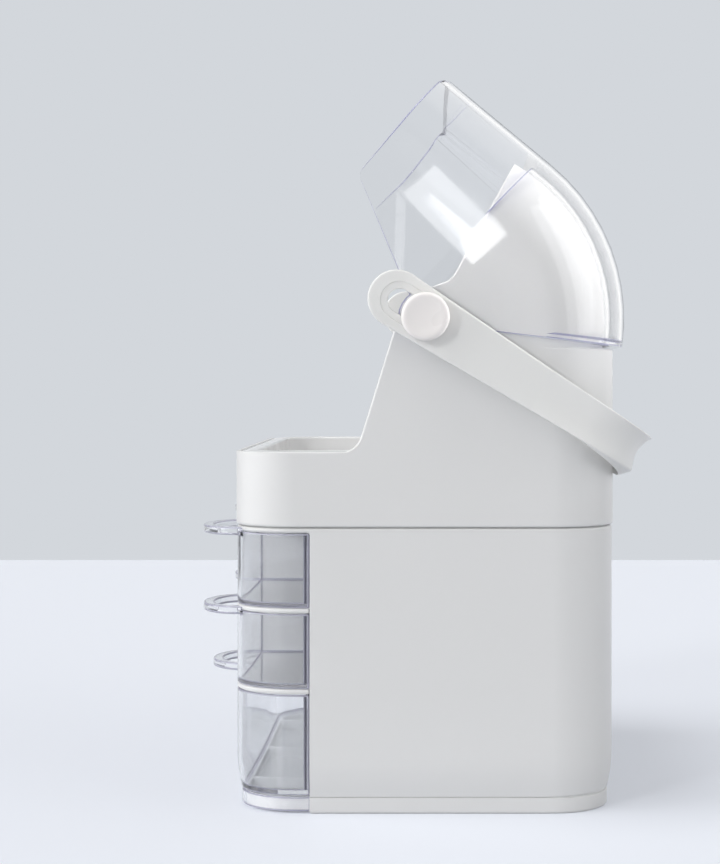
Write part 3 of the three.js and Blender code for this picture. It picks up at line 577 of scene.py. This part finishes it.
class ORGANIZER_OT_case(bpy.types.Operator):
    """Case: base, lower and upper mouldings, shelves and dividers"""

    bl_idname = "organizer.case"
    bl_label = "White case"

    def execute(self, context):
        sizes, colours = settings()
        white = white_plastic("white_case_plastic", colours.case, roughness=0.34)
        thin_edge = THIN_SHARE * sizes.case_edge
        parts = {
            "base_plate": sizes.case_edge,
            "lower_housing": sizes.case_edge,
            "upper_housing": sizes.case_edge,
            "shelf_upper": thin_edge,
            "shelf_lower": thin_edge,
            "drawer_divider_upper": thin_edge,
            "drawer_divider_lower": thin_edge,
            "rear_divider": thin_edge,
        }
        for node, edge in parts.items():
            piece = own_copy(node)
            round_edges(piece, edge)
            settle(piece, "case", [node], [white])
        return {"FINISHED"}


class ORGANIZER_OT_tray(bpy.types.Operator):
    """Drop-in tray with its two dividers"""

    bl_idname = "organizer.tray"
    bl_label = "Drop-in tray"

    def execute(self, context):
        sizes, colours = settings()
        glossy = white_plastic("white_tray_plastic", colours.tray, roughness=0.2)
        thin_edge = THIN_SHARE * sizes.tray_edge
        parts = {
            "tray_insert": (sizes.tray_edge, "white_insert"),
            "tray_divider_left": (thin_edge, "white_case"),
            "tray_divider_right": (thin_edge, "white_case"),
        }
        for node, (edge, slot) in parts.items():
            piece = own_copy(node)
            round_edges(piece, edge)
            settle(piece, "case", [node], [glossy])
        return {"FINISHED"}


class ORGANIZER_OT_drawers(bpy.types.Operator):
    """Five clear drawers with half-moon pulls"""

    bl_idname = "organizer.drawers"
    bl_label = "Clear drawers"

    def execute(self, context):
        sizes, colours = settings()
        # Partly painted shade: the drawers' tint is greyer than the clear plastic's own
        clear = clear_plastic("clear_drawer_plastic_with_painted_shade", colours.drawer, roughness=0.03, ior=DRAWER_IOR)
        # Painted shade: the edge material's dark tint along the drawers' edges
        edge = clear_edge_painted_light("clear_drawer_edge_painted_shade", colours.drawer_edge, DRAWER_IOR)
        for node in DRAWERS:
            piece = own_copy(node)
            round_edges(piece, sizes.drawer_edge, PAINTED_EDGE_SLOT)
            settle(piece, node, [node], [clear, edge])
        return {"FINISHED"}


class ORGANIZER_OT_covers(bpy.types.Operator):
    """Clear visor and front lid"""

    bl_idname = "organizer.covers"
    bl_label = "Visor and lid"

    def execute(self, context):
        sizes, colours = settings()
        clear = clear_plastic("clear_cover_plastic", colours.cover, roughness=0.02, ior=COVER_IOR)
        # Painted shade: the edge material's dark tint along the covers' edges
        edge = clear_edge_painted_light("clear_cover_edge_painted_shade", colours.cover_edge, COVER_IOR)
        # Painted light: the pale rim material on the rims across the covers
        rim = clear_edge_painted_light("clear_cover_rim_painted_light", colours.rim_painted_light, COVER_IOR)
        for node, body in (("middle_visor", "visor"), ("front_lid", "lid")):
            piece = own_copy(node)
            round_edges(piece, sizes.cover_edge, PAINTED_EDGE_SLOT)
            self.mark_painted_light_rims(piece)
            settle(piece, body, [node], [clear, edge, rim])
        return {"FINISHED"}

    def mark_painted_light_rims(self, piece):
        """Gives the slot of the pale rims, whose colour is painted light, to the edges that run from
        cheek to cheek or look down, and to flat tops.
        """
        half_width = max(vert.co.x for vert in piece.data.vertices)
        for face in piece.data.polygons:
            across = abs(face.center.x) < CHEEK_SHARE * half_width
            rim = face.material_index == PAINTED_EDGE_SLOT and (across or face.normal.z < LOW_RIM)
            if rim or (across and face.normal.z > FLAT_TOP):
                face.material_index = PAINTED_RIM_SLOT


class ORGANIZER_OT_handle(bpy.types.Operator):
    """Milky handle and the bushes in its slots"""

    bl_idname = "organizer.handle"
    bl_label = "Handle"

    def execute(self, context):
        sizes, colours = settings()
        milky = milky_plastic("milky_handle_plastic", colours.handle)
        piece = own_copy("handle")
        round_edges(piece, sizes.handle_edge)
        settle(piece, "handle", ["handle"], [milky])
        for side in SIDES:
            node = f"handle_bush_{side}"
            bush = own_copy(node)
            round_edges(bush, BUSH_SHARE * sizes.handle_edge)
            settle(bush, "handle_bushes", [node], [milky])
        return {"FINISHED"}


class ORGANIZER_OT_knobs(bpy.types.Operator):
    """Round knobs on the pivot stems"""

    bl_idname = "organizer.knobs"
    bl_label = "Pivot knobs"

    def execute(self, context):
        sizes, colours = settings()
        white = white_plastic("white_knob_plastic", colours.knob, roughness=0.3)
        for side, turn in (("left", -math.pi / 2), ("right", math.pi / 2)):
            node = f"pivot_knob_{side}"
            knob = self.model(sizes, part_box(node), turn)
            knob.name = piece_name(node)
            settle(knob, "case", [node], [white], smooth=KNOB_SHARP_ANGLE)
        return {"FINISHED"}

    def model(self, sizes, box, turn):
        """A disc with a hollowed face on a bored stem, turned to its side."""
        low, high = box
        reach = high.x - low.x
        radius = (high.z - low.z) / 2
        bpy.ops.object.select_all(action="DESELECT")
        middle = Vector((0.0, 0.0, (reach - sizes.knob_head) / 2))
        bpy.ops.mesh.primitive_cylinder_add(
            vertices=KNOB_SEGMENTS, radius=radius, depth=sizes.knob_head, location=middle
        )
        knob = bpy.context.object
        apply_place(knob)
        bpy.ops.object.mode_set(mode="EDIT")
        self.hollow_face(sizes, reach / 2)
        self.bored_stem(sizes, radius, reach)
        bpy.ops.mesh.select_all(action="SELECT")
        bpy.ops.mesh.normals_make_consistent(inside=False)
        bpy.ops.object.mode_set(mode="OBJECT")
        self.round_rims(knob, sizes, radius)
        knob.rotation_euler = (0.0, turn, 0.0)
        knob.location = (low + high) / 2
        apply_place(knob)
        return knob

    def hollow_face(self, sizes, top):
        """Sinks the outer face in three rings, so that the hollow runs out softly."""
        select_faces_at(top)
        bpy.ops.mesh.inset(thickness=sizes.knob_rim)
        for share_of_depth, step in HOLLOW_RINGS:
            bpy.ops.mesh.inset(thickness=step)
            bpy.ops.transform.translate(value=(0.0, 0.0, -share_of_depth * sizes.knob_dish))

    def bored_stem(self, sizes, radius, reach):
        """Draws the stem out of the inner face and sinks the screw's hole into its end."""
        select_faces_at(reach / 2 - sizes.knob_head)
        bpy.ops.mesh.inset(thickness=radius - sizes.stem_radius)
        stem = reach - sizes.knob_head
        bpy.ops.mesh.extrude_region_move(TRANSFORM_OT_translate={"value": (0.0, 0.0, -stem)})
        bpy.ops.mesh.inset(thickness=sizes.stem_radius - sizes.screw_room)
        hole = SCREW_HOLE_SHARE * stem
        bpy.ops.mesh.extrude_region_move(TRANSFORM_OT_translate={"value": (0.0, 0.0, hole)})

    def round_rims(self, knob, sizes, radius):
        """Rounds the outer rims fully, and the edges of the stem and its hole a little."""
        mesh = bmesh.new()
        mesh.from_mesh(knob.data)
        weight = mesh.edges.layers.float.new("bevel_weight_edge")
        for edge in mesh.edges:
            if edge.calc_face_angle() > KNOB_SHARP_ANGLE:
                outer = min(vert.co.xy.length for vert in edge.verts) > radius - WELD
                edge[weight] = 1.0 if outer else STEM_EDGE_SHARE
        mesh.to_mesh(knob.data)
        mesh.free()
        bevel(knob, sizes.knob_edge, KNOB_RIM_SEGMENTS, NO_SLOT)


class ORGANIZER_OT_hardware(bpy.types.Operator):
    """Washers, screws and foot pads"""

    bl_idname = "organizer.hardware"
    bl_label = "Hardware and pads"

    def execute(self, context):
        colours = settings()[1]
        plated = steel("plated_steel", colours.steel)
        grey = rubber("grey_rubber", colours.rubber)
        for side in SIDES:
            for kind in ("washer", "screw"):
                self.dress(f"pivot_{kind}_{side}", plated)
        for number in range(1, 5):
            self.dress(f"foot_pad_{number}", grey)
        return {"FINISHED"}

    def dress(self, node, material):
        """Gives a CAD node its finish."""
        mesh = CAD_NODES[node].data
        mesh.materials.clear()
        mesh.materials.append(material)


class ORGANIZER_OT_stage(bpy.types.Operator):
    """Table top, backdrop, camera and soft lamps"""

    bl_idname = "organizer.stage"
    bl_label = "Stage"

    def execute(self, context):
        stage = context.scene.organizer_stage
        colours = settings()[1]
        self.table(stage, colours)
        self.world(stage, colours)
        self.camera(stage)
        self.sun("key_light", stage.key_strength, towards=(1.0, -0.78, 0.41), spread=12.0)
        self.sun("front_light", stage.front_strength, towards=(0.15, -1.0, 0.1), spread=60.0)
        self.sun("back_light", stage.back_strength, towards=(0.4, 0.9, 0.25), spread=60.0)
        self.sun("top_light", stage.top_strength, towards=(0.1, -0.3, 1.0), spread=30.0)
        self.window_panel(stage)
        self.hood_panel(stage)
        self.bounces(context.scene)
        context.scene.view_settings.view_transform = "Standard"
        return {"FINISHED"}

    def bounces(self, scene):
        """Enough bounces for light to get out of several layers of clear plastic."""
        scene.cycles.max_bounces = 20
        scene.cycles.glossy_bounces = 12
        scene.cycles.transmission_bounces = 20
        scene.cycles.transparent_max_bounces = 24

    def table(self, stage, colours):
        """A plain floor from behind the camera to its end on the far side of the case."""
        middle = Vector(((FLOOR_REACH - stage.floor_end) / 2, 0.0, 0.0))
        bpy.ops.mesh.primitive_plane_add(size=1.0, location=middle)
        floor = bpy.context.object
        floor.name = "table_top"
        floor.scale = (FLOOR_REACH + stage.floor_end, 2.0 * FLOOR_REACH, 1.0)
        apply_place(floor)
        floor.data.materials.append(self.table_paint(stage, colours))

    def table_paint(self, stage, colours):
        """Plain paint, part of whose colour is there for the camera even in shadow."""
        finish = Finish("table_paint", tinted(colours.floor, stage.floor_shade), roughness=0.7)
        finish.set("Specular IOR Level", 0.1)
        finish.grain(scale=300.0, depth=0.05 * MM, strength=0.1)
        seen = ray_share(finish.tree, "Is Camera Ray", "Is Glossy Ray", "Is Transmission Ray")
        light = finish.tree.nodes.new("ShaderNodeMath")
        light.operation = "MULTIPLY"
        light.inputs[1].default_value = stage.floor_light
        finish.set("Emission Color", (*colours.floor, 1.0))
        finish.link(seen, light, 0)
        finish.link(light.outputs["Value"], finish.shader, "Emission Strength")
        return finish.material

    def world(self, stage, colours):
        """Even light all round, with the backdrop's colour where it is seen."""
        world = bpy.data.worlds.new("studio")
        bpy.context.scene.world = world
        world.use_nodes = True
        tree = world.node_tree
        tree.nodes.clear()
        seen = self.seen_directly(tree)
        ambient = tree.nodes.new("ShaderNodeBackground")
        ambient.inputs["Color"].default_value = WHITE
        ambient.inputs["Strength"].default_value = stage.ambient
        wall = tree.nodes.new("ShaderNodeBackground")
        tree.links.new(self.surroundings(tree, stage, colours), wall.inputs["Color"])
        mix = tree.nodes.new("ShaderNodeMixShader")
        output = tree.nodes.new("ShaderNodeOutputWorld")
        tree.links.new(seen, mix.inputs[0])
        tree.links.new(ambient.outputs[0], mix.inputs[1])
        tree.links.new(wall.outputs[0], mix.inputs[2])
        tree.links.new(mix.outputs[0], output.inputs[0])

    def seen_directly(self, tree):
        """1 where the surroundings are seen, and 0 where they only light something."""
        seen = ray_share(tree, "Is Camera Ray", "Is Glossy Ray", "Is Transmission Ray")
        path = tree.nodes.new("ShaderNodeLightPath")
        first = tree.nodes.new("ShaderNodeMath")
        first.operation = "LESS_THAN"
        first.inputs[1].default_value = FIRST_BOUNCE
        both = tree.nodes.new("ShaderNodeMath")
        both.operation = "MULTIPLY"
        tree.links.new(path.outputs["Diffuse Depth"], first.inputs[0])
        tree.links.new(first.outputs["Value"], both.inputs[0])
        tree.links.new(seen, both.inputs[1])
        return both.outputs["Value"]

    def surroundings(self, tree, stage, colours):
        """Backdrop behind the case, and a dim room round it with a bright screen on the handle's side."""
        place = tree.nodes.new("ShaderNodeTexCoord")
        axes = tree.nodes.new("ShaderNodeSeparateXYZ")
        tree.links.new(place.outputs["Generated"], axes.inputs["Vector"])
        screen = tree.nodes.new("ShaderNodeMath")
        screen.operation = "MULTIPLY"
        tree.links.new(fade(tree, axes.outputs["Y"], start=-0.05, end=0.45), screen.inputs[0])
        tree.links.new(fade(tree, axes.outputs["X"], start=0.55, end=0.2), screen.inputs[1])
        front = fade(tree, axes.outputs["X"], start=-0.1, end=0.6)
        before = tinted(colours.backdrop, stage.front_room)
        low = blend_colours(tree, front, tinted(colours.backdrop, stage.room), before)
        overhead = fade(tree, axes.outputs["Z"], start=0.1, end=0.5)
        dim = blend_colours(tree, overhead, low, tinted(colours.backdrop, stage.ceiling))
        room = blend_colours(tree, screen.outputs["Value"], dim, (stage.softbox,) * 3)
        away = fade(tree, axes.outputs["X"], start=-0.96, end=-0.8)
        return blend_colours(tree, away, colours.backdrop, room)

    def camera(self, stage):
        """Level camera looking square at the side of the case, shifted as the picture is framed."""
        bpy.ops.object.camera_add(
            location=(stage.camera_distance, stage.camera_side, stage.camera_height),
            rotation=(math.pi / 2, 0.0, math.pi / 2),
        )
        camera = bpy.context.object
        camera.data.lens = stage.lens
        camera.data.shift_x, camera.data.shift_y = CAMERA_SHIFT
        bpy.context.scene.camera = camera

    def sun(self, name, strength, towards, spread):
        """Even light from a direction, softened by its spread in degrees."""
        bpy.ops.object.light_add(type="SUN")
        lamp = bpy.context.object
        lamp.name = name
        lamp.data.energy = strength
        lamp.data.angle = math.radians(spread)
        lamp.rotation_euler = (-Vector(towards)).to_track_quat("-Z", "Y").to_euler()

    def panel(self, name, power, place, aim, size):
        """A lamp panel at a place, turned to its aim."""
        bpy.ops.object.light_add(type="AREA", location=place)
        lamp = bpy.context.object
        lamp.name = name
        lamp.data.shape = "RECTANGLE"
        lamp.data.size = size[0]
        lamp.data.size_y = size[1]
        lamp.data.energy = power
        lamp.rotation_euler = (Vector(aim) - lamp.location).to_track_quat("-Z", "Y").to_euler()
        return lamp

    def window_panel(self, stage):
        """A narrow slanting panel behind the camera that the lid's cheek mirrors."""
        slant = math.radians(41.0)
        lamp = self.panel(
            "window_panel",
            stage.window_power,
            place=(2.2, 0.038, 0.502),
            aim=(0.14, 0.018, 0.327),
            size=(0.075, 0.16),
        )
        lamp.rotation_euler.rotate_axis("Z", slant)

    def hood_panel(self, stage):
        """A panel behind and above whose narrow beam lights the hood's near shoulder."""
        beam = math.radians(24.0)
        lamp = self.panel(
            "hood_panel",
            stage.hood_power,
            place=(0.06, 0.7, 0.45),
            aim=(0.15, 0.09, 0.34),
            size=(0.1, 0.1),
        )
        lamp.data.spread = beam
        lamp.visible_glossy = False
        lamp.visible_transmission = False


class ORGANIZER_PT_panel(bpy.types.Panel):
    """Buttons for the organizer's pieces and stage"""

    bl_idname = "ORGANIZER_PT_panel"
    bl_label = "Makeup organizer"
    bl_space_type = "VIEW_3D"
    bl_region_type = "UI"
    bl_category = "Organizer"

    def draw(self, context):
        scene = context.scene
        for group in (scene.organizer_sizes, scene.organizer_colours, scene.organizer_stage):
            box = self.layout.box()
            for name in group.bl_rna.properties.keys():
                if name not in ("rna_type", "name"):
                    box.prop(group, name)
        for operator in OPERATORS:
            self.layout.operator(operator.bl_idname)


OPERATORS = (
    ORGANIZER_OT_case,
    ORGANIZER_OT_tray,
    ORGANIZER_OT_drawers,
    ORGANIZER_OT_covers,
    ORGANIZER_OT_handle,
    ORGANIZER_OT_knobs,
    ORGANIZER_OT_hardware,
    ORGANIZER_OT_stage,
)
CLASSES = (OrganizerSizes, OrganizerColours, OrganizerStage, *OPERATORS, ORGANIZER_PT_panel)


def register():
    """Registers the classes and puts the settings on the scene."""
    for each in CLASSES:
        bpy.utils.register_class(each)
    bpy.types.Scene.organizer_sizes = bpy.props.PointerProperty(type=OrganizerSizes)
    bpy.types.Scene.organizer_colours = bpy.props.PointerProperty(type=OrganizerColours)
    bpy.types.Scene.organizer_stage = bpy.props.PointerProperty(type=OrganizerStage)


def unregister():
    """Takes the settings and classes away again."""
    del bpy.types.Scene.organizer_stage
    del bpy.types.Scene.organizer_colours
    del bpy.types.Scene.organizer_sizes
    for each in reversed(CLASSES):
        bpy.utils.unregister_class(each)


def main():
    """Makes every piece and the stage."""
    register()
    bpy.ops.organizer.case()
    bpy.ops.organizer.tray()
    bpy.ops.organizer.drawers()
    bpy.ops.organizer.covers()
    bpy.ops.organizer.handle()
    bpy.ops.organizer.knobs()
    bpy.ops.organizer.hardware()
    bpy.ops.organizer.stage()


if __name__ == "__main__":
    main()
